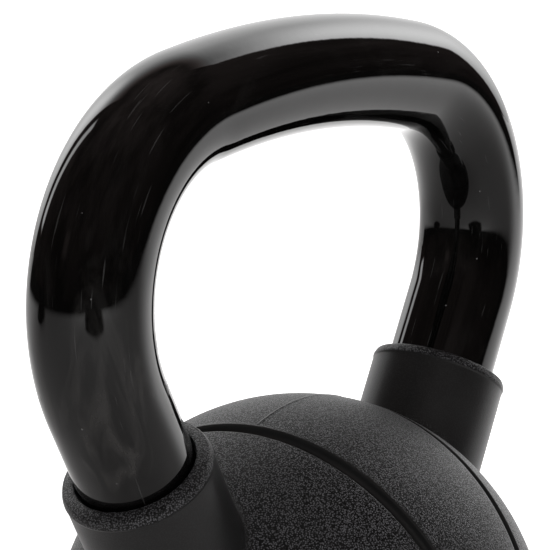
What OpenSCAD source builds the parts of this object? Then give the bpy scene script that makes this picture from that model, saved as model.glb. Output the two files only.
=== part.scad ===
// Kettlebell with a bent round bar handle and a moulded urethane casing over an iron core.
// Units are millimetres, +Z is up, X runs along the handle's width, Y runs through the hand gap.
// The origin is on the floor, under the centre of the ball.

/* [Ball] */
// Outside diameter of the ball
ball_diameter = 131; // [120:0.5:145]
// Height of the ball's centre above the floor
ball_centre_height = 56; // [52:0.5:60]
// Thickness of the moulded casing over the core
casing_wall = 9.5; // [7:0.5:11]

/* [Handle] */
// Diameter of the round bar
bar_diameter = 30; // [27:0.5:33]
// Height of the top of the handle above the floor
overall_height = 222; // [210:1:240]
// Radius of the bar's centre line along the slightly curved grip
crown_radius = 306; // [200:1:400]
// Half of the angle the grip's curve turns through
crown_half_angle = 9.6; // [8:0.1:12]
// Radius of the bar's centre line in the two shoulder bends
bend_radius = 45; // [40:0.5:50]
// Tilt of each straight leg away from vertical
leg_tilt = 30.3; // [28:0.1:32]
// Length of each straight leg, from the shoulder bend to its end inside the core
leg_length = 86; // [82:1:92]

/* [Collars] */
// Bare bar between the shoulder bend and the collar's rim
rim_drop = 20.4; // [16:0.2:24]
// Outside diameter of the collar below its lip
collar_diameter = 38; // [36:0.2:42]
// How far the rounded lip stands out from the collar
lip_projection = 0.2; // [0.2:0.1:1]
// Height of the lip
lip_height = 6; // [5:0.2:8]
// Radius of the rounding on the lip's top edge
lip_radius = 1.6; // [1:0.1:2.4]
// Width of the gap between the bar and the collar's mouth
mouth_gap = 0.6; // [0.4:0.1:1]
// Depth of the gap at the collar's mouth
mouth_depth = 3; // [2:0.5:6]

/* [Grooves] */
// Distance of each groove's plane from the ball's centre
groove_offset = 12.9; // [12:0.1:15]
// Tilt of each groove's plane, which narrows the centre band downwards
groove_tilt = 8.5; // [7:0.1:9]
// Width of each groove
groove_width = 3; // [2:0.2:4]
// Depth of each groove
groove_depth = 2; // [1:0.1:3]
// Size of the bevel on the two edges of each groove
groove_bevel = 0.4; // [0.2:0.1:0.6]
// Width of the mould line over the centre band
mould_line_width = 0.7; // [0.4:0.1:1]
// Height of the mould line over the centre band
mould_line_height = 0.15; // [0.1:0.05:0.3]

/* [Core] */
// Width of the weld bead round each leg
weld_width = 4; // [3:0.5:5]
// Height of the weld bead above the core
weld_height = 3; // [2:0.5:4]
// Diameter of the bore in the bottom of the core
plug_diameter = 22; // [16:1:26]
// Depth of the bore in the bottom of the core
plug_depth = 24; // [15:1:30]
// Diameter of the plug's flange
flange_diameter = 32; // [30:1:36]
// Thickness of the plug's flange, equal to the casing's thickness above the pad
flange_thickness = 4; // [3:0.5:5]

/* [Base] */
// Diameter of the base pad
pad_diameter = 58; // [50:1:60]
// Thickness of the base pad
pad_thickness = 4; // [3:0.5:5]
// How far the base pad stands out below the casing
pad_projection = 1; // [0.5:0.1:2]
// Bevel round the bottom edge of the pad and of the casing
base_bevel = 1; // [0.5:0.1:1.5]

/* [Node] */
// Node to show

/* [Hidden] */
$fn = 96;
bar_fn = 72;

// Gap left between two lengths of the bar, too small to see, and the short tenon across it
hairline = 0.02;
tenon_length = 1;

ball_radius = ball_diameter / 2;
core_radius = ball_radius - casing_wall;
bar_radius = bar_diameter / 2;
lip_outer_radius = collar_diameter / 2 + lip_projection;
core_bottom = pad_thickness + flange_thickness;

// Centre of the grip's curve and centre of the right shoulder bend
crown_centre_z = overall_height - bar_radius - crown_radius;
bend_x = (crown_radius - bend_radius) * sin(crown_half_angle);
bend_z = crown_centre_z + (crown_radius - bend_radius) * cos(crown_half_angle);
bend_turn = 90 + leg_tilt - crown_half_angle;

// Top of the right leg, centre of the right collar's rim and length of the collar's sleeve
leg_x = bend_x + bend_radius * cos(leg_tilt);
leg_z = bend_z - bend_radius * sin(leg_tilt);
rim_x = leg_x - rim_drop * sin(leg_tilt);
rim_z = leg_z - rim_drop * cos(leg_tilt);
leg_end_cover = 3;
sleeve_length = leg_length - rim_drop - leg_end_cover;

// Radius of the circle where a groove's plane meets the ball, and of the groove's floor
groove_circle = sqrt(pow(ball_radius, 2) - pow(groove_offset, 2));
groove_floor = groove_circle - groove_depth;

// Radii of the ball where the casing's flat starts and where the flat's bevel ends
flat_drop = ball_centre_height - pad_projection;
flat_radius = sqrt(pow(ball_radius, 2) - pow(flat_drop, 2));
bevel_radius = sqrt(pow(ball_radius, 2) - pow(flat_drop - base_bevel, 2));

// Longer than anything it cuts
reach = 2 * ball_diameter;

module mirrored() {
    children();
    mirror([1, 0, 0]) children();
}

module at_ball_centre() {
    translate([0, 0, ball_centre_height]) children();
}

// Frame of the right collar: origin at the centre of its rim, Z up along the leg
module at_right_rim() {
    translate([rim_x, 0, rim_z]) rotate([0, leg_tilt, 0]) children();
}

// Bar bent round the Y axis, from the start angle above +X through the turn, a hairline short
module bent_bar(radius, start, turn) {
    trim = hairline / radius * 180 / PI;
    rotate([90, 0, 0]) rotate([0, 0, start + trim])
        rotate_extrude(angle = turn - 2 * trim, $fn = bar_fn) translate([radius, 0])
            circle(d = bar_diameter, $fn = bar_fn);
}

// Round tenon that joins two lengths of bar across the hairline between them
module tenon() {
    cylinder(h = tenon_length, r = bar_radius - hairline, center = true);
}

// Frame of the right leg: origin at its top, Z down along the leg
module at_right_leg() {
    translate([leg_x, 0, leg_z]) rotate([0, 180 + leg_tilt, 0]) children();
}

module right_leg() {
    at_right_leg() translate([0, 0, hairline])
        cylinder(h = leg_length - hairline, d = bar_diameter);
}

module handle_bar() {
    color([0.05, 0.05, 0.055]) {
        translate([0, 0, crown_centre_z])
            bent_bar(crown_radius, 90 - crown_half_angle, 2 * crown_half_angle);
        mirrored() {
            translate([0, 0, crown_centre_z]) rotate([0, 90 + crown_half_angle, 0])
                translate([-crown_radius, 0, 0]) tenon();
            translate([bend_x, 0, bend_z]) bent_bar(bend_radius, -leg_tilt, bend_turn);
            at_right_leg() tenon();
            right_leg();
        }
    }
}

// Core without its bores: a ball with a flat bottom
module core_blank() {
    intersection() {
        at_ball_centre() sphere(r = core_radius);
        translate([-core_radius, -core_radius, core_bottom]) cube(2 * core_radius);
    }
}

module core() {
    color([0.36, 0.35, 0.34]) difference() {
        core_blank();
        mirrored() right_leg();
        core_plug();
    }
}

// Bead round the right leg that follows the core's round surface
module right_bead() {
    difference() {
        intersection() {
            at_ball_centre() sphere(r = core_radius + weld_height);
            at_right_rim() translate([0, 0, -sleeve_length])
                cylinder(h = sleeve_length, r = bar_radius + weld_width);
        }
        at_ball_centre() sphere(r = core_radius);
        right_leg();
    }
}

module left_weld() {
    color([0.5, 0.5, 0.52]) mirror([1, 0, 0]) right_bead();
}

module right_weld() {
    color([0.5, 0.5, 0.52]) right_bead();
}

module core_plug() {
    color([0.45, 0.44, 0.42]) translate([0, 0, core_bottom]) {
        cylinder(h = plug_depth, d = plug_diameter);
        translate([0, 0, -flange_thickness])
            cylinder(h = flange_thickness, d = flange_diameter);
    }
}

// Space above the casing's flat, with the bevel round the flat
module above_flat() {
    rotate_extrude() polygon([
        [0, pad_projection],
        [flat_radius - base_bevel, pad_projection],
        [bevel_radius, pad_projection + base_bevel],
        [reach, pad_projection + base_bevel],
        [reach, reach],
        [0, reach]
    ]);
}

// Ring cut out of the ball for the right groove, with bevelled edges
module right_groove() {
    inner_edge = sqrt(pow(ball_radius, 2) - pow(groove_offset - groove_width / 2, 2)) - groove_bevel;
    outer_edge = sqrt(pow(ball_radius, 2) - pow(groove_offset + groove_width / 2, 2)) - groove_bevel;
    flare = 3;
    at_ball_centre() rotate([0, 90 + groove_tilt, 0]) translate([0, 0, groove_offset])
        rotate_extrude() polygon([
            [groove_floor, -groove_width / 2],
            [inner_edge, -groove_width / 2],
            [inner_edge + flare, -groove_width / 2 - flare],
            [outer_edge + flare, groove_width / 2 + flare],
            [outer_edge, groove_width / 2],
            [groove_floor, groove_width / 2]
        ]);
}

// Space on the right cap's side of the right groove's plane
module beyond_right_groove() {
    at_ball_centre() rotate([0, groove_tilt, 0])
        translate([groove_offset, -reach / 2, -reach / 2]) cube(reach);
}

// Collar round the right leg, with a rounded lip at the rim
module right_collar() {
    at_right_rim() {
        translate([0, 0, -sleeve_length])
            cylinder(h = sleeve_length - lip_height / 2, d = collar_diameter);
        rotate_extrude() {
            translate([0, -lip_radius]) square([lip_outer_radius - lip_radius, lip_radius]);
            translate([lip_outer_radius - lip_radius, -lip_radius]) circle(r = lip_radius);
            polygon([
                [0, -lip_height - lip_projection],
                [collar_diameter / 2, -lip_height - lip_projection],
                [lip_outer_radius, -lip_height],
                [lip_outer_radius, -lip_radius],
                [0, -lip_radius]
            ]);
        }
    }
}

// Everything the casing is moulded round, and the pad let into its flat
module casing_cutouts() {
    core_blank();
    core_plug();
    base_pad();
    mirrored() {
        right_leg();
        right_bead();
    }
}

module right_cap() {
    difference() {
        intersection() {
            union() {
                intersection() {
                    at_ball_centre() sphere(r = ball_radius);
                    above_flat();
                }
                right_collar();
            }
            beyond_right_groove();
        }
        right_groove();
        casing_cutouts();
        at_right_rim() translate([0, 0, -mouth_depth])
            cylinder(h = 2 * mouth_depth, r = bar_radius + mouth_gap);
    }
}

module left_casing() {
    color([0.13, 0.13, 0.14]) mirror([1, 0, 0]) right_cap();
}

module right_casing() {
    color([0.13, 0.13, 0.14]) right_cap();
}

module centre_band() {
    color([0.16, 0.16, 0.17]) difference() {
        intersection() {
            at_ball_centre() {
                sphere(r = ball_radius);
                rotate([90, 0, 0])
                    cylinder(h = mould_line_width, r = ball_radius + mould_line_height, center = true);
            }
            above_flat();
        }
        mirrored() {
            beyond_right_groove();
            right_groove();
        }
        casing_cutouts();
    }
}

module base_pad() {
    color([0.08, 0.08, 0.08]) {
        cylinder(h = base_bevel, d1 = pad_diameter - 2 * base_bevel, d2 = pad_diameter);
        translate([0, 0, base_bevel])
            cylinder(h = pad_thickness - base_bevel, d = pad_diameter);
    }
}

handle_bar();
left_weld();
right_weld();
core();
core_plug();
left_casing();
centre_band();
right_casing();
base_pad();
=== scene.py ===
"""Kettlebell: a glossy black bent-bar handle over a matte urethane ball with two grooves."""

import math

import bpy
import numpy as np
from mathutils import Matrix, Vector


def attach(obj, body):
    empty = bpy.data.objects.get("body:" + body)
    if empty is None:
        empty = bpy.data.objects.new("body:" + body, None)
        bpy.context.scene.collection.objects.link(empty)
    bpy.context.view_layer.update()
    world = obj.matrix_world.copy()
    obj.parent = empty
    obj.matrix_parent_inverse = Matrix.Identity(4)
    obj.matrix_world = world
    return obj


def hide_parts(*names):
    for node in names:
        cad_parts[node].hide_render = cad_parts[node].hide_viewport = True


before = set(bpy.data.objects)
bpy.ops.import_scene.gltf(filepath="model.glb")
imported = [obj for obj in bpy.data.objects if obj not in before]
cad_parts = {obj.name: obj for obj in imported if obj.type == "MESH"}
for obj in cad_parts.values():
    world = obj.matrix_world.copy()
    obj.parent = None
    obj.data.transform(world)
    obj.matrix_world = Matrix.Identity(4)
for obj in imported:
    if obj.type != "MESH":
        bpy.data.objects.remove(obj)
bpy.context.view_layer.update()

MM = 0.001

# Sizes in millimetres, as in the CAD model. Heights are from the ball's centre unless they say floor.
BALL_R = 65.5
BALL_Z = 56.0  # ball's centre above the floor
OVERALL_H = 222.0  # top of the handle above the floor
CORE_R = 56.0
WELD_R = 19.0
WELD_H = 3.0
BAR_R = 15.0
BAR_EDGE = 1.0  # rounding at the bar's two ends, inside the core
CROWN_R = 306.0  # bow of the grip
CROWN_A = math.radians(9.6)
BEND_R = 45.0
LEG_A = math.radians(30.3)  # lean of the right leg from vertical
LEG_L = 86.0
RIM_DROP = 20.4  # from the leg's top to the collar's rim, along the leg
COLLAR_R = 19.0
LIP_R = 19.2
LIP_H = 2.8  # height of the domed lip
LIP_STEP = 0.7  # height over which the lip runs in to the collar's side
BEAD_H = 0.3  # slight bead round the lip's shoulder
MOUTH_R = 15.45
MOUTH_DEPTH = 3.0
MOUTH_EDGE = 0.4  # rounding at the mouth's rim
MOUTH_CORNER = 0.15
ROOT_FILLET = 2.5  # between the collar and the ball
GROOVE_A = math.radians(8.5)  # lean of the right groove's plane from vertical
GROOVE_D = 12.9  # from the ball's centre to the groove's middle plane
GROOVE_W = 3.0
GROOVE_DEPTH = 2.0
GROOVE_LIP = 0.6  # rounding at the groove's lips
GROOVE_CORNER = 1.0  # rounding at the groove's floor
LINE_H = 0.15  # height of the mould line on the centre band
FLAT_Z = 1.0 - BALL_Z  # casing's underside
RECESS_Z = 4.0 - BALL_Z  # recess for the pad
CORE_FLAT_Z = 8.0 - BALL_Z
FLAT_EDGE = 0.7  # rounding where the ball meets its flat
INNER_EDGE = 0.02
PAD_R = 29.0
PAD_H = 4.0

# Worked out from the sizes. The left side mirrors the right.
CROWN_Z = OVERALL_H - BALL_Z - BAR_R - CROWN_R  # centre of the grip's bow
BEND_X = (CROWN_R - BEND_R) * math.sin(CROWN_A)  # centre of the right shoulder's bend
BEND_Z = CROWN_Z + (CROWN_R - BEND_R) * math.cos(CROWN_A)
Y = np.array([0.0, 1.0, 0.0])
MIRROR_X = np.array([-1.0, 1.0, 1.0])
LEG_UP = np.array([math.sin(LEG_A), 0.0, math.cos(LEG_A)])
LEG_OUT = np.array([math.cos(LEG_A), 0.0, -math.sin(LEG_A)])
LEG_TOP = np.array([BEND_X + BEND_R * math.cos(LEG_A), 0.0, BEND_Z - BEND_R * math.sin(LEG_A)])
LEG_FOOT = LEG_OUT * (LEG_TOP @ LEG_OUT)  # the leg's axis at its closest to the ball's centre
RIM_H = LEG_TOP @ LEG_UP - RIM_DROP  # collar's rim above the foot, along the leg
GROOVE_N = np.array([math.cos(GROOVE_A), 0.0, -math.sin(GROOVE_A)])
FLOOR_R = math.sqrt(BALL_R ** 2 - GROOVE_D ** 2) - GROOVE_DEPTH


# ---------------------------------------------------------------- camera
AZIMUTH, ELEVATION, DISTANCE = math.radians(56.42), math.radians(17.93), 0.7027
PAN, TILT, ROLL = math.radians(0.58), math.radians(7.933), math.radians(-0.331)
SENSOR, LENS = 36.0, 170.57


def add_camera():
    """Camera at the left front, aimed at the ball's centre and then panned, tilted and rolled."""
    back = Vector((-math.sin(AZIMUTH) * math.cos(ELEVATION),
                   -math.cos(AZIMUTH) * math.cos(ELEVATION), math.sin(ELEVATION)))
    forward = -back
    right = Vector((math.cos(AZIMUTH), -math.sin(AZIMUTH), 0.0))
    up = right.cross(forward)
    turn = Matrix.Rotation(PAN, 3, up)
    forward, right = turn @ forward, turn @ right
    turn = Matrix.Rotation(TILT, 3, right)
    forward, up = turn @ forward, turn @ up
    turn = Matrix.Rotation(ROLL, 3, forward)
    right, up = turn @ right, turn @ up
    data = bpy.data.cameras.new("camera")
    data.sensor_width = SENSOR
    data.lens = LENS
    data.clip_start, data.clip_end = 0.01, 50.0
    cam = bpy.data.objects.new("camera", data)
    bpy.context.scene.collection.objects.link(cam)
    axes = Matrix((right, up, -forward)).transposed()
    centre = Vector((0, 0, BALL_Z * MM))
    cam.matrix_world = Matrix.Translation(centre + back * DISTANCE) @ axes.to_4x4()
    bpy.context.scene.camera = cam


add_camera()


# ---------------------------------------------------------------- mesh helpers
def mesh_object(name, verts, faces, grain=None, straight=None):
    """Smooth-shaded mesh from millimetres. Grain is the surface texture's strength at each vertex;
    straight is the vertex's place on the bar before bending, in metres."""
    mesh = bpy.data.meshes.new(name)
    mesh.from_pydata((np.asarray(verts) * MM).tolist(), [], faces)
    if grain is not None:
        attribute = mesh.attributes.new("grain", "FLOAT", "POINT")
        attribute.data.foreach_set("value", np.asarray(grain, np.float32))
    if straight is not None:
        attribute = mesh.attributes.new("straight", "FLOAT_VECTOR", "POINT")
        attribute.data.foreach_set("vector", np.asarray(straight, np.float32).reshape(-1))
    mesh.validate()
    mesh.update()
    mesh.shade_smooth()
    mesh.set_sharp_from_angle(angle=math.radians(38))
    obj = bpy.data.objects.new(name, mesh)
    bpy.context.scene.collection.objects.link(obj)
    return obj


def torus_faces(nu, nv, flip=False):
    """Quads of a grid that closes both ways; vertex (i, j) is i * nv + j."""
    i = np.arange(nu)[:, None]
    j = np.arange(nv)[None, :]
    a = i * nv + j
    b = ((i + 1) % nu) * nv + j
    c = ((i + 1) % nu) * nv + (j + 1) % nv
    d = i * nv + (j + 1) % nv
    quads = np.stack([a, b, c, d], -1).reshape(-1, 4)
    return (quads[:, ::-1] if flip else quads).tolist()


def tube_faces(rows, n, flip=False):
    """Quads of a tube of rings, with a flat cap over each end; vertex (i, j) is i * n + j."""
    faces = [(i * n + j, i * n + (j + 1) % n, (i + 1) * n + (j + 1) % n, (i + 1) * n + j)
             for i in range(rows - 1) for j in range(n)]
    faces += [tuple(range(n - 1, -1, -1)), tuple((rows - 1) * n + j for j in range(n))]
    return [face[::-1] for face in faces] if flip else faces


def circle(n):
    """n angles once round."""
    return np.linspace(0, 2 * math.pi, n, endpoint=False)


def unit(v):
    return v / np.linalg.norm(v, axis=-1, keepdims=True)


def slerp(a, b, t):
    """Directions from unit a to unit b, shape (..., len(t), 3)."""
    dot = np.clip((a * b).sum(-1, keepdims=True), -1, 1)
    w = np.arccos(dot)[..., None]
    s = np.maximum(np.sin(w), 1e-9)
    t = np.asarray(t)[:, None]
    return (np.sin((1 - t) * w) * a[..., None, :] + np.sin(t * w) * b[..., None, :]) / s


def above(z, floor, k):
    """Z held above a floor, with a rounded corner of size k."""
    return 0.5 * (z + floor + np.sqrt((z - floor) ** 2 + k * k))


# ---------------------------------------------------------------- handle
def bar_path(step=1.6):
    """Centre line points and tangents in the XZ plane, from the left leg's end to the right leg's end."""
    def arc(x, z, radius, a0, a1):
        n = max(8, int(radius * (a1 - a0) / step))
        a = np.linspace(a0, a1, n + 1)
        return (np.stack([x + radius * np.sin(a), z + radius * np.cos(a)], 1),
                np.stack([np.cos(a), -np.sin(a)], 1))

    p1, t1 = arc(0.0, CROWN_Z, CROWN_R, 0.0, CROWN_A)
    p2, t2 = arc(BEND_X, BEND_Z, BEND_R, CROWN_A, math.pi / 2 + LEG_A)
    down = np.array([-math.sin(LEG_A), -math.cos(LEG_A)])
    s = np.linspace(0, LEG_L, 48)[1:, None]
    p3, t3 = p2[-1] + s * down, np.repeat(down[None], len(s), 0)
    p = np.concatenate([p1, p2[1:], p3])
    t = np.concatenate([t1, t2[1:], t3])
    left_p, left_t = p[:0:-1] * [-1, 1], t[:0:-1] * [1, -1]
    return np.concatenate([left_p, p]), np.concatenate([left_t, t])


def handle():
    """Bent round bar, as rings across the centre line."""
    path, tangent = bar_path()
    n_round = 160
    a = circle(n_round)
    t3 = np.stack([tangent[:, 0], 0 * tangent[:, 0], tangent[:, 1]], 1)
    centre = np.stack([path[:, 0], 0 * path[:, 0], path[:, 1] + BALL_Z], 1)
    run = np.concatenate([[0.0], np.cumsum(np.linalg.norm(np.diff(centre, axis=0), axis=1))])
    radius = np.full(len(path), BAR_R)
    # each end starts with a ring of smaller radius, then the full one set in by the rounding
    centre = np.concatenate([centre[:1], centre[:1] + BAR_EDGE * t3[:1], centre[1:-1],
                             centre[-1:] - BAR_EDGE * t3[-1:], centre[-1:]])
    t3 = np.concatenate([t3[:1], t3, t3[-1:]])
    run = np.concatenate([run[:1], run, run[-1:]]) - run[-1] / 2
    radius = np.concatenate([[BAR_R - BAR_EDGE], radius, [BAR_R - BAR_EDGE]])
    out = np.cross(t3, Y)  # away from the hand gap
    spoke = np.cos(a)[None, :, None] * out[:, None] + np.sin(a)[None, :, None] * Y
    verts = (centre[:, None] + radius[:, None, None] * spoke).reshape(-1, 3)
    straight = np.stack(np.broadcast_arrays(BAR_R * np.cos(a), BAR_R * np.sin(a), run[:, None]), -1)
    return mesh_object("handle", verts, tube_faces(len(centre), n_round, flip=True), straight=straight * MM)


# ---------------------------------------------------------------- casing
class Columns:
    """Points of a closed grid, one column after another along its section. Each column has its grain
    and the height that it is held above."""

    def __init__(self):
        self.points, self.grain, self.low = [], [], []

    def put(self, points, grain=0.0, low=FLAT_Z):
        self.points.append(points)
        self.grain.append(np.broadcast_to(grain, len(points)))
        self.low.append(low)

    def mesh(self, name, side=1, flip=False):
        p = np.stack(self.points, 1)
        low = np.broadcast_to(np.array(self.low), p.shape[:2])
        inside = low > CORE_FLAT_Z - 0.5
        p = np.where(inside[..., None], settle(p, low, INNER_EDGE), settle(p, low, FLAT_EDGE))
        verts = p.reshape(-1, 3) * [side, 1, 1] + [0, 0, BALL_Z]
        grain = np.stack(self.grain, 1).reshape(-1)
        return mesh_object(name, verts, torus_faces(*p.shape[:2], flip=flip), grain)


def settle(p, low, corner):
    """Points held above the casing's flat underside, which is higher inside the pad's recess.
    Points near the recess's wall are moved on to it."""
    zone, gap = 1.2, 0.1
    p = p.copy()
    r = np.hypot(p[..., 0], p[..., 1])
    deep = low > FLAT_Z + 0.01
    near = (np.abs(r - PAD_R) < zone) & (p[..., 2] < low + 1.0) & ~deep
    scale = np.where(near, (PAD_R + gap) / np.maximum(r, 1e-6), 1.0)
    p[..., 0] *= scale
    p[..., 1] *= scale
    held = above(p[..., 2], low, corner)
    p[..., 2] = np.where((r < PAD_R - zone) & ~deep, np.maximum(held, RECESS_Z), held)
    return p


def collar_profile():
    """(radius, height below the rim) from the mouth's bottom, over the lip and down to the collar's side."""
    quarter = np.linspace(0, math.pi / 2, 6)
    pts = [(BAR_R, MOUTH_DEPTH), (MOUTH_R - MOUTH_CORNER, MOUTH_DEPTH)]
    pts += [(MOUTH_R, h) for h in (MOUTH_DEPTH - MOUTH_CORNER, 2.2, 1.4, MOUTH_EDGE + 0.2)]
    pts += [(MOUTH_R + MOUTH_EDGE * (1 - math.cos(a)), MOUTH_EDGE * (1 - math.sin(a))) for a in quarter]
    start = MOUTH_R + MOUTH_EDGE
    for a in np.linspace(0, math.pi / 2, 28)[1:]:
        bead = BEAD_H * math.exp(-((a - 0.95) / 0.2) ** 2)
        pts.append((start + (LIP_R - start) * math.sin(a), LIP_H * (1 - math.cos(a)) - bead))
    for t in np.linspace(0, 1, 6)[1:]:
        ease = 0.5 - 0.5 * math.cos(math.pi * t)
        pts.append((LIP_R - (LIP_R - COLLAR_R) * ease, LIP_H + LIP_STEP * t))
    return pts


JOINT_STEPS = (0.35, 0.7, 1.0)  # shares of the way from the groove's floor to the core


def groove_section(side):
    """(distance from the ball's centre along the groove's axis, radius) of half a groove, from its lip to
    the core. Side is 1 for the cap's half and -1 for the band's. The joint face is the middle plane."""
    wall = GROOVE_D + side * GROOVE_W / 2
    d = wall + side * GROOVE_LIP
    c = np.array([d, math.sqrt((BALL_R - GROOVE_LIP) ** 2 - d ** 2)])
    turn = np.linspace(math.atan2(c[1], c[0]), math.pi if side > 0 else 0.0, 9)
    pts = [c + GROOVE_LIP * np.array([math.cos(a), math.sin(a)]) for a in turn]
    pts += [np.array([wall, r]) for r in np.linspace(c[1], FLOOR_R + GROOVE_CORNER, 4)[1:]]
    for a in np.linspace(0, math.pi / 2, 5)[1:]:
        pts.append(np.array([wall - side * GROOVE_CORNER * (1 - math.cos(a)),
                             FLOOR_R + GROOVE_CORNER * (1 - math.sin(a))]))
    pts.append(np.array([GROOVE_D, FLOOR_R]))
    inner = math.sqrt(CORE_R ** 2 - GROOVE_D ** 2)
    pts += [np.array([GROOVE_D, FLOOR_R + (inner - FLOOR_R) * t]) for t in JOINT_STEPS]
    return np.array(pts)


def put_groove(columns, points, order):
    """Columns of half a groove. Its lip has some grain, and its joint face climbs to the core's flat."""
    first_joint = len(points) - 1 - len(JOINT_STEPS)
    for k in order:
        share = max(0, k - first_joint) / len(JOINT_STEPS)
        columns.put(points[k], 0.5 if k < 2 else 0.0, FLAT_Z + (CORE_FLAT_Z - FLAT_Z) * share)


SPOKES = np.cos(circle(300))[:, None] * LEG_OUT + np.sin(circle(300))[:, None] * Y  # round the right leg


def on_cylinder(r, h):
    """Ring of radius r round the leg's axis, h up from the leg's foot."""
    return LEG_FOOT + r * SPOKES + h * LEG_UP


def on_sphere(r, rho):
    """Where a cylinder of radius r round the leg's axis leaves a sphere of radius rho."""
    base = LEG_FOOT + r * SPOKES
    return base + np.sqrt(rho ** 2 - (base ** 2).sum(1))[:, None] * LEG_UP


def put_collar(columns):
    """Mouth, lip, side and root of the right collar. Returns the centres of the root's rounding."""
    for r, h in collar_profile():
        smooth = h > LIP_H or (h > 1.0 and r < MOUTH_R + 0.3)
        columns.put(on_cylinder(r, RIM_H - h), 0.05 if smooth else 0.75)
    centre = LEG_FOOT + (COLLAR_R + ROOT_FILLET) * SPOKES
    centre = centre + np.sqrt((BALL_R + ROOT_FILLET) ** 2 - (centre ** 2).sum(1))[:, None] * LEG_UP
    foot = centre - ROOT_FILLET * SPOKES
    top = on_cylinder(COLLAR_R, RIM_H - LIP_H - LIP_STEP)
    for t in np.linspace(0, 1, 15)[1:]:
        columns.put(top + (foot - top) * t, 0.05 if t < 0.9 else 0.2)
    arc = slerp(-SPOKES, -unit(centre), np.linspace(0, 1, 11)[1:])
    for k in range(arc.shape[1]):
        columns.put(centre + ROOT_FILLET * arc[:, k], 0.2 + 0.08 * k)
    return centre


def put_cap_skin(columns, centre):
    """The ball's skin along great circles from the collar's root to the groove, and the cap's half
    of the groove. Returns the directions from the ball's centre in which the joint face ends."""
    start = unit(centre)
    middle = unit(on_sphere(0.0, BALL_R).mean(0))
    away = unit(start - (start @ middle)[:, None] * middle)
    s0 = np.arccos(np.clip(start @ middle, -1, 1))
    section = groove_section(1)
    nm, nv = GROOVE_N @ middle, away @ GROOVE_N
    reach = np.arccos(np.clip(section[0, 0] / BALL_R / np.hypot(nm, nv), -1, 1))
    s1 = np.arctan2(nv, nm) + reach
    steps = np.linspace(0, 1, 84)
    steps = 0.55 * steps + 0.45 * (0.5 - 0.5 * np.cos(math.pi * steps))  # closer together at both ends
    for t in steps[1:-1]:
        s = (s0 + (s1 - s0) * t)[:, None]
        columns.put(BALL_R * (np.cos(s) * middle + np.sin(s) * away), 1.0)
    edge = np.cos(s1)[:, None] * middle + np.sin(s1)[:, None] * away
    radial = unit(edge - (edge @ GROOVE_N)[:, None] * GROOVE_N)
    points = [d * GROOVE_N + r * radial for d, r in section]
    put_groove(columns, points, range(len(points)))
    return unit(section[-1, 0] * GROOVE_N + section[-1, 1] * radial)


def put_cap_inside(columns, inner):
    """Inner skin back to the weld bead, over the bead and up the bore."""
    target = unit(on_sphere(WELD_R, CORE_R))
    path = slerp(inner, target, np.linspace(0, 1, 26)[1:])
    for k in range(path.shape[1]):
        columns.put(CORE_R * path[:, k], low=CORE_FLAT_Z)
    columns.put(on_sphere(WELD_R, CORE_R + WELD_H), low=CORE_FLAT_Z)
    bore_foot = on_sphere(BAR_R, CORE_R + WELD_H)
    bore_top = on_cylinder(BAR_R, RIM_H - MOUTH_DEPTH)
    for t in (0.0, 0.33, 0.66):
        columns.put(bore_foot + (bore_top - bore_foot) * t, low=CORE_FLAT_Z)


def cap(name, side):
    """A cap with its collar: side is 1 for the right one and -1 for its mirror image."""
    columns = Columns()
    centre = put_collar(columns)
    inner = put_cap_skin(columns, centre)
    put_cap_inside(columns, inner)
    return columns.mesh(name, side, flip=side > 0)


def band():
    """Centre band between the two grooves, with a raised mould line in the handle's plane."""
    half_line = np.array([0.06, 0.18, 0.3, 0.42, 0.6, 0.9])
    line = np.concatenate([-half_line[::-1], half_line]) / BALL_R
    rest = np.linspace(1.6 / BALL_R, math.pi - 1.6 / BALL_R, 190)
    psi = np.concatenate([line, rest, math.pi + line, math.pi + rest])
    up = np.array([math.sin(GROOVE_A), 0.0, math.cos(GROOVE_A)])
    radial = np.sin(psi)[:, None] * Y + np.cos(psi)[:, None] * up
    right = [d * GROOVE_N + r * radial for d, r in groove_section(-1)]
    left = [points * MIRROR_X for points in right]
    columns = Columns()
    skin = slerp(unit(left[0]), unit(right[0]), np.linspace(0, 1, 34)[1:-1])
    for k in range(skin.shape[1]):
        q = skin[:, k] / np.linalg.norm(skin[:, k], axis=1)[:, None]
        rise = LINE_H * np.clip(1.5 - np.abs(q[:, 1]) * BALL_R / 0.3, 0, 1)
        columns.put(q * (BALL_R + rise)[:, None], 1.0 - 0.75 * rise / LINE_H)
    put_groove(columns, right, range(len(right)))
    inside = slerp(unit(right[-1]), unit(left[-1]), np.linspace(0, 1, 9)[1:-1])
    for k in range(inside.shape[1]):
        columns.put(CORE_R * inside[:, k], low=CORE_FLAT_Z)
    put_groove(columns, left, range(len(left) - 1, -1, -1))
    return columns.mesh("band", flip=True)


# ---------------------------------------------------------------- base pad
def pad():
    """Rubber foot with rounded edges and three shallow rings in its underside."""
    n_round = 128
    edge, tuck, ring_depth = 1.0, 0.2, 0.5
    profile = [(5.0, 0.0)]
    for r in (10.0, 16.0, 22.0):
        profile += [(r - 0.9, 0.0), (r - 0.5, ring_depth), (r + 0.5, ring_depth), (r + 0.9, 0.0)]
    for a in np.linspace(0, math.pi / 2, 7):
        profile.append((PAD_R - edge * (1 - math.sin(a)), edge * (1 - math.cos(a))))
    profile += [(PAD_R, 2.2), (PAD_R, PAD_H - tuck), (PAD_R - tuck, PAD_H), (20.0, PAD_H)]
    a = circle(n_round)
    verts = np.concatenate([np.stack([r * np.cos(a), r * np.sin(a), 0 * a + z], 1) for r, z in profile])
    return mesh_object("pad", verts, tube_faces(len(profile), n_round))


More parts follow.
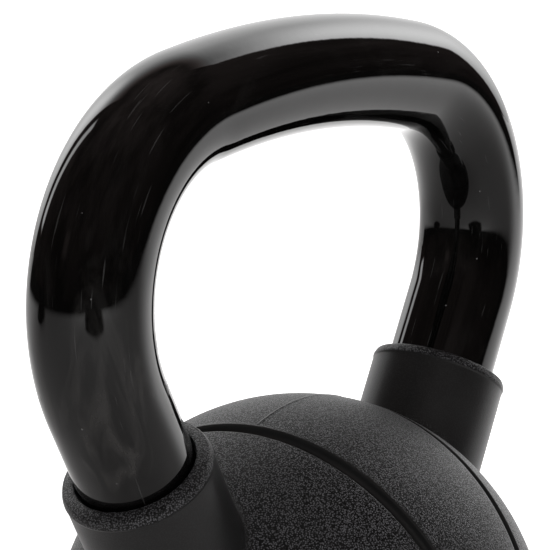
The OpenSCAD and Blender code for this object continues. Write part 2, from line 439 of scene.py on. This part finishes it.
# ---------------------------------------------------------------- materials
class Nodes:
    """Small wrapper that adds nodes to a tree and links them."""

    def __init__(self, tree):
        self.tree = tree
        tree.nodes.clear()

    def set(self, socket, value):
        if isinstance(value, bpy.types.NodeSocket):
            self.tree.links.new(value, socket)
        else:
            socket.default_value = value

    def add(self, kind, inputs=None, **props):
        node = self.tree.nodes.new(kind)
        for key, value in props.items():
            setattr(node, key, value)
        for key, value in (inputs or {}).items():
            self.set(node.inputs[key], value)
        return node

    def math(self, op, a, b=0.0, c=0.0):
        return self.add("ShaderNodeMath", {0: a, 1: b, 2: c}, operation=op).outputs[0]

    def product(self, *values):
        total = values[0]
        for value in values[1:]:
            total = self.math("MULTIPLY", total, value)
        return total

    def degrees(self, op, a, b=0.0):
        return self.math("MULTIPLY", self.math(op, a, b), 180 / math.pi)

    def off(self, value, middle):
        """How far a value is from the middle."""
        return self.math("ABSOLUTE", self.math("SUBTRACT", value, middle))

    def spread(self, value, a, b, lo=0.0, hi=1.0, kind="SMOOTHSTEP"):
        """Lo at a, hi at b, and eased or straight in between."""
        inputs = {0: value, 1: a, 2: b, 3: lo, 4: hi}
        return self.add("ShaderNodeMapRange", inputs, interpolation_type=kind).outputs[0]

    def blend(self, factor, a, b):
        """Colour from a to b."""
        node = self.add("ShaderNodeMix", data_type="RGBA")
        for index, value in ((0, factor), (6, a), (7, b)):
            self.set(node.inputs[index], value)
        return node.outputs[2]

    def noise(self, vector, scale, detail, roughness=0.5, distortion=0.0):
        inputs = {"Vector": vector, "Scale": scale, "Detail": detail,
                  "Roughness": roughness, "Distortion": distortion}
        return self.add("ShaderNodeTexNoise", inputs).outputs[0]

    def stretch(self, vector, along):
        """Place squeezed along Z, so that a texture on it is drawn out that way."""
        return self.add("ShaderNodeMapping", {"Vector": vector, "Scale": (1.0, 1.0, along)}).outputs[0]

    def specks(self, place, scale, radius, start, end):
        """Dots in a few of the cells: those whose random number is past start."""
        cells = self.add("ShaderNodeTexVoronoi", {"Vector": place, "Scale": scale})
        chance = self.add("ShaderNodeSeparateColor", {0: cells.outputs["Color"]}).outputs[0]
        dot = self.spread(cells.outputs["Distance"], radius, radius / 2)
        return self.math("MULTIPLY", dot, self.spread(chance, start, end))

    def bump(self, height, strength, distance):
        inputs = {"Strength": strength, "Distance": distance, "Height": height}
        return self.add("ShaderNodeBump", inputs).outputs[0]


def new_material(name):
    """A material, its nodes, its shader and the place on the object in metres."""
    material = bpy.data.materials.new(name)
    material.use_nodes = True
    n = Nodes(material.node_tree)
    shader = n.add("ShaderNodeBsdfPrincipled")
    n.add("ShaderNodeOutputMaterial", {0: shader.outputs[0]})
    place = n.add("ShaderNodeTexCoord").outputs["Object"]
    return material, n, shader, place


def grey(v, warm=0.0):
    return (v * (1 + warm), v, v * (1 - warm), 1.0)


def lacquer():
    """Thick gloss black paint, with faint smears on the left leg, hairline marks and dust."""
    material, n, shader, place = new_material("lacquer")
    straight = n.add("ShaderNodeAttribute", attribute_name="straight").outputs["Vector"]
    along = n.add("ShaderNodeSeparateXYZ", {0: straight}).outputs[2]  # negative on the left of the crown
    handled = n.product(n.spread(along, -0.09, -0.15, 0.15, 1.0), n.spread(along, -0.157, -0.15))
    long = n.stretch(straight, 0.32)
    smear = n.spread(n.noise(long, 110.0, 5.0, 0.6, 1.2), 0.45, 0.7)
    smear_at = n.product(smear, handled)
    dull = n.product(n.spread(n.noise(long, 190.0, 3.0, distortion=0.6), 0.6, 0.7), handled)
    hair = n.spread(n.noise(n.stretch(straight, 0.05), 1500.0, 1.0), 0.7, 0.78)
    marks = n.math("MAXIMUM", n.specks(place, 330.0, 0.1, 0.94, 0.95), n.product(hair, 0.25))
    base = n.blend(smear_at, grey(0.0009, 0.05), (0.024, 0.023, 0.022, 1.0))
    n.set(shader.inputs["Base Color"], n.blend(marks, base, grey(0.1)))
    rough = n.math("ADD", n.spread(smear_at, 0.0, 1.0, 0.03, 0.1, "LINEAR"), n.product(dull, 0.3))
    n.set(shader.inputs["Roughness"], n.math("ADD", rough, n.product(marks, 0.3)))
    peel = n.noise(place, 150.0, 2.0)
    n.set(shader.inputs["Normal"], n.bump(peel, 0.35, 0.00006))
    shader.inputs["IOR"].default_value = 1.5
    return material


def urethane():
    """Matte moulded urethane: fine stipple, smooth in the grooves and on the collars' sides. The stipple's
    colour is painted light: light pebble tips as glints, dark pits as shade.
    """
    material, n, shader, place = new_material("urethane")
    grain = n.add("ShaderNodeAttribute", attribute_name="grain").outputs["Fac"]
    pebble = n.add("ShaderNodeTexVoronoi", {"Vector": place, "Scale": 2100.0, "Randomness": 0.85})
    # Pebble tips: lightened in the colour below as painted glints, and also used for roughness and specular
    # level.
    tip_glint = n.spread(pebble.outputs["Distance"], 0.62, 0.12)
    fine = n.spread(n.noise(place, 2600.0, 2.0, 0.6), 0.3, 0.7)
    height = n.math("SUBTRACT", n.product(fine, 0.7), n.product(pebble.outputs["Distance"], 0.6))
    height = n.product(height, n.math("ADD", n.product(grain, 0.95), 0.05))
    n.set(shader.inputs["Normal"], n.bump(height, 1.0, 0.00014))
    # Painted shade and glints: the pits between pebbles are near black and the tips light grey, in place of
    # shade in the hollows and glints off the tips; smooth parts take an even dark grey.
    smooth_and_pit_shade = n.blend(grain, grey(0.011), grey(0.004))
    base = n.blend(n.product(tip_glint, grain), smooth_and_pit_shade, (0.11, 0.11, 0.118, 1.0))
    cloud = n.noise(place, 38.0, 5.0, 0.6)
    base = n.blend(n.spread(cloud, 0.35, 0.75, 0.0, 0.2), base, grey(0.035))
    n.set(shader.inputs["Base Color"], n.blend(n.specks(place, 210.0, 0.06, 0.965, 0.97), base, grey(0.2)))
    rough = n.spread(cloud, 0.3, 0.75, 0.3, 0.37, "LINEAR")
    rough_tip = n.product(n.math("ADD", 0.5, tip_glint), n.product(grain, 0.08))
    n.set(shader.inputs["Roughness"], n.math("ADD", rough, rough_tip))
    gloss = n.product(grain, n.spread(tip_glint, 0.0, 1.0, -0.3, 0.25))
    n.set(shader.inputs["Specular IOR Level"], n.math("ADD", gloss, 0.43))
    shader.inputs["IOR"].default_value = 1.48
    return material


def rubber():
    """Fine matte rubber for the foot."""
    material, n, shader, place = new_material("rubber")
    scuff = n.noise(place, 90.0, 6.0, 0.7)
    n.set(shader.inputs["Base Color"], n.blend(n.spread(scuff, 0.5, 0.8), grey(0.014), grey(0.05)))
    n.set(shader.inputs["Roughness"], n.spread(scuff, 0.3, 0.8, 0.7, 0.9))
    n.set(shader.inputs["Normal"], n.bump(n.noise(place, 1400.0, 3.0), 0.6, 0.00008))
    return material


def metal(name, dark, light, scale, rough_lo, rough_hi, depth):
    """Bare iron or steel with a mottled, grainy surface."""
    material, n, shader, place = new_material(name)
    mottle = n.noise(place, scale, 7.0, 0.65)
    n.set(shader.inputs["Base Color"], n.blend(n.spread(mottle, 0.3, 0.72), dark, light))
    n.set(shader.inputs["Roughness"], n.spread(mottle, 0.3, 0.7, rough_lo, rough_hi, "LINEAR"))
    n.set(shader.inputs["Normal"], n.bump(n.noise(place, scale * 12, 4.0), 0.7, depth))
    shader.inputs["Metallic"].default_value = 1.0
    return material


LACQUER, URETHANE, RUBBER = lacquer(), urethane(), rubber()
IRON = metal("cast_iron", grey(0.09, 0.08), grey(0.22, 0.05), 60.0, 0.55, 0.8, 0.0003)
STEEL = metal("weld_steel", grey(0.22, 0.1), grey(0.45), 240.0, 0.3, 0.55, 0.0002)


# ---------------------------------------------------------------- the object
def clothe(obj, material):
    obj.data.materials.clear()
    obj.data.materials.append(material)


def stand_in(obj, material, node):
    """A detailed piece shown in place of a CAD node."""
    clothe(obj, material)
    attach(obj, "root")
    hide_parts(node)


stand_in(handle(), LACQUER, "handle_bar")
stand_in(cap("cap_right", 1), URETHANE, "right_casing")
stand_in(cap("cap_left", -1), URETHANE, "left_casing")
stand_in(band(), URETHANE, "centre_band")
stand_in(pad(), RUBBER, "base_pad")
for inner_node, inner_material in (("core", IRON), ("core_plug", IRON),
                                   ("left_weld", STEEL), ("right_weld", STEEL)):
    clothe(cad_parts[inner_node], inner_material)


# ---------------------------------------------------------------- studio
# Distances are in metres. Bearings are in degrees clockwise from +Y, seen from above.
BACK = (math.sin(AZIMUTH), math.cos(AZIMUTH), 0.0)  # level direction from the camera to the bell
RIGHT = (math.cos(AZIMUTH), -math.sin(AZIMUTH), 0.0)
SHEET = (12.0, 101.5)  # bearings of the white sheet's two edges
FLOOR_REACH = 9.0


def studio_floor():
    """Pale floor, lit from behind the bell, with a painted glow on top that is brighter behind the bell.
    Reflections see it turn to painted shade, a dim glow, past an edge away from the sheet, with two bulges
    of that shade in front of the edge."""
    material, n, shader, place = new_material("pale_floor")
    shader.inputs["Base Color"].default_value = grey(0.86)
    shader.inputs["Roughness"].default_value = 0.75
    seen = n.add("ShaderNodeLightPath").outputs["Is Camera Ray"]
    along = n.add("ShaderNodeVectorMath", {0: place, 1: BACK}, operation="DOT_PRODUCT").outputs["Value"]
    side = n.add("ShaderNodeVectorMath", {0: place, 1: RIGHT}, operation="DOT_PRODUCT").outputs["Value"]
    # Painted light: the floor's glow rises to 1.15 behind the bell and falls to 0.35 of that on the camera's
    # left side, except for camera rays, which see at least 0.45.
    dim_side = n.math("MAXIMUM", n.spread(side, -0.5, 0.0, 0.35, 1.0), seen)
    glow = n.product(n.spread(along, -0.05, 0.5, 0.0, 1.15), dim_side)
    shader.inputs["Emission Color"].default_value = (1, 1, 1, 1)
    n.set(shader.inputs["Emission Strength"], n.math("MAXIMUM", glow, n.product(seen, 0.45)))

    # Painted shade for reflections only: past an edge about 1.05 to 1.75 m out, and past two bulges at
    # bearings -131 and -35, rays other than camera rays see a dim warm glow instead of the lit floor, away
    # from the sheet.
    x, y, _ = n.add("ShaderNodeSeparateXYZ", {0: place}).outputs
    reach = n.add("ShaderNodeVectorMath", {0: place}, operation="LENGTH").outputs["Value"]
    bearing = n.degrees("ARCTAN2", x, y)
    half = (SHEET[1] - SHEET[0]) / 2
    off_sheet = n.spread(n.off(bearing, sum(SHEET) / 2), half, half + 5)
    dark = n.spread(reach, 1.05, 1.75)
    for middle, width, start in ((-131.0, 15.0, 0.62), (-35.0, 9.0, 0.78)):
        off = n.off(bearing, middle)
        bulge = n.product(n.math("POWER", n.math("DIVIDE", off, width), 2.0), 0.14)
        past = n.spread(n.math("SUBTRACT", reach, bulge), start - 0.07, start + 0.07)
        dark = n.math("MAXIMUM", dark, n.product(n.spread(off, width + 3.0, width - 3.0), past))
    unseen = n.math("SUBTRACT", 1.0, seen)
    gloom = n.add("ShaderNodeEmission", {0: (1.06, 0.98, 0.96, 1.0), 1: 0.022}).outputs[0]
    # Mix factor of the painted shade: dark places away from the sheet, for rays other than camera rays.
    reflected_shade = n.product(dark, off_sheet, unseen)
    mix = n.add("ShaderNodeMixShader", {0: reflected_shade, 1: shader.outputs[0], 2: gloom})
    output = next(node for node in n.tree.nodes if node.type == "OUTPUT_MATERIAL")
    n.set(output.inputs[0], mix.outputs[0])

    mesh = bpy.data.meshes.new("floor")
    rim = [(FLOOR_REACH * math.cos(t), FLOOR_REACH * math.sin(t), 0.0) for t in circle(96)]
    mesh.from_pydata(rim, [], [tuple(range(len(rim)))])
    mesh.materials.append(material)
    obj = bpy.data.objects.new("floor", mesh)
    bpy.context.scene.collection.objects.link(obj)


def studio_world():
    """A white sheet behind the bell, lit by a lamp at each side, with a bright strip beside it and a
    dim room elsewhere. The camera itself sees plain white."""
    world = bpy.data.worlds.new("studio")
    world.use_nodes = True
    n = Nodes(world.node_tree)
    direction = n.add("ShaderNodeTexCoord").outputs["Generated"]
    x, y, z = n.add("ShaderNodeSeparateXYZ", {0: direction}).outputs
    bearing = n.degrees("ARCTAN2", x, y)
    height = n.degrees("ARCSINE", z)

    def between(value, lo, hi, soft):
        half = (hi - lo) / 2
        return n.spread(n.off(value, (lo + hi) / 2), half + soft / 2, half - soft / 2)

    def patch(b0, b1, h0, h1, soft, level):
        return n.product(between(bearing, b0, b1, soft), between(height, h0, h1, soft), level)

    def lamp(centre, reach, level):
        return n.product(n.spread(n.off(bearing, centre), reach, 0.0), level)

    lamps = n.product(n.math("ADD", lamp(95.0, 28.0, 2.6), lamp(20.0, 19.0, 2.1)),
                      n.spread(height, -8.0, 34.0), n.spread(height, 50.0, 33.0))
    wash = n.product(n.spread(height, -10.0, 28.0, 0.93, 1.5), n.spread(height, 61.0, 34.0))
    sheet = n.product(n.math("ADD", lamps, wash), between(bearing, SHEET[0], SHEET[1], 2.5))
    strip = patch(-3.0, 3.5, 8.0, 45.0, 3.0, 2.7)
    window = patch(-75.0, -66.0, 16.0, 26.0, 5.0, 0.1)
    room = n.math("ADD", n.spread(height, 0.0, 40.0, 0.03, 0.072), n.spread(height, 50.0, 80.0, 0.0, 0.1))
    drift = n.noise(direction, 2.6, 4.0, 0.6)
    room = n.product(room, n.spread(drift, 0.35, 0.65, 0.6, 1.3))
    total = n.math("ADD", n.math("ADD", sheet, strip), n.math("ADD", window, room))
    tint = n.blend(n.spread(total, 0.1, 0.8), (1.18, 0.96, 0.92, 1.0), (1.0, 1.0, 1.0, 1.0))
    lit = n.add("ShaderNodeBackground", {0: tint, 1: total})
    plain = n.add("ShaderNodeBackground", {0: (1.0, 1.0, 1.0, 1.0), 1: 1.0})
    seen = n.add("ShaderNodeLightPath").outputs["Is Camera Ray"]
    mix = n.add("ShaderNodeMixShader", {0: seen, 1: lit.outputs[0], 2: plain.outputs[0]})
    n.add("ShaderNodeOutputWorld", {0: mix.outputs[0]})
    bpy.context.scene.world = world


def fill_light():
    """Weak soft light from the camera's side, left out of mirror-like reflections."""
    data = bpy.data.lights.new("fill", "AREA")
    data.shape, data.size, data.energy = "DISK", 1.4, 23.0
    lamp = bpy.data.objects.new("fill", data)
    lamp.visible_glossy = False
    lamp.visible_camera = False
    place = Vector((-1.25, -1.2, 0.42))
    lamp.matrix_world = Matrix.Translation(place) @ place.to_track_quat("Z", "Y").to_matrix().to_4x4()
    bpy.context.scene.collection.objects.link(lamp)


studio_floor()
studio_world()
fill_light()
bpy.context.scene.view_settings.view_transform = "Standard"

bpy.context.view_layer.update()
